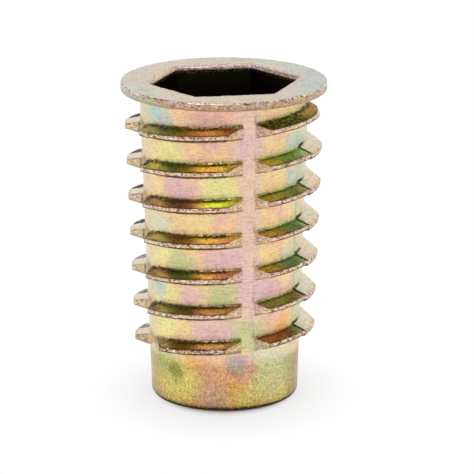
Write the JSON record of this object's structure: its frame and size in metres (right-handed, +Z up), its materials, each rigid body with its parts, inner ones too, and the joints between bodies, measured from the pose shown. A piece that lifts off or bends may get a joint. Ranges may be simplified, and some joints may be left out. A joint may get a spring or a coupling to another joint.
{
  "type": "threaded insert",
  "caption": "Tapered flanged sleeve with a coarse interrupted outer thread, a hexagon drive socket in the top and a threaded bore below it.",
  "frame": {"origin": "middle of the lower end's resting plane, on the insert's axis", "axes": "+Z up along the axis from the lower end to the flange, -Y towards the front, where the thread's height is counted from"},
  "size_m": [0.0159, 0.0158, 0.025],
  "materials": {
    "chromated_zinc": "as-cast zinc alloy with a thin yellow chromate film that shifts between pale gold, pink and green"
  },
  "bodies": {
    "root": {"threaded_insert": "chromated_zinc"}
  },
  "joints": []
}
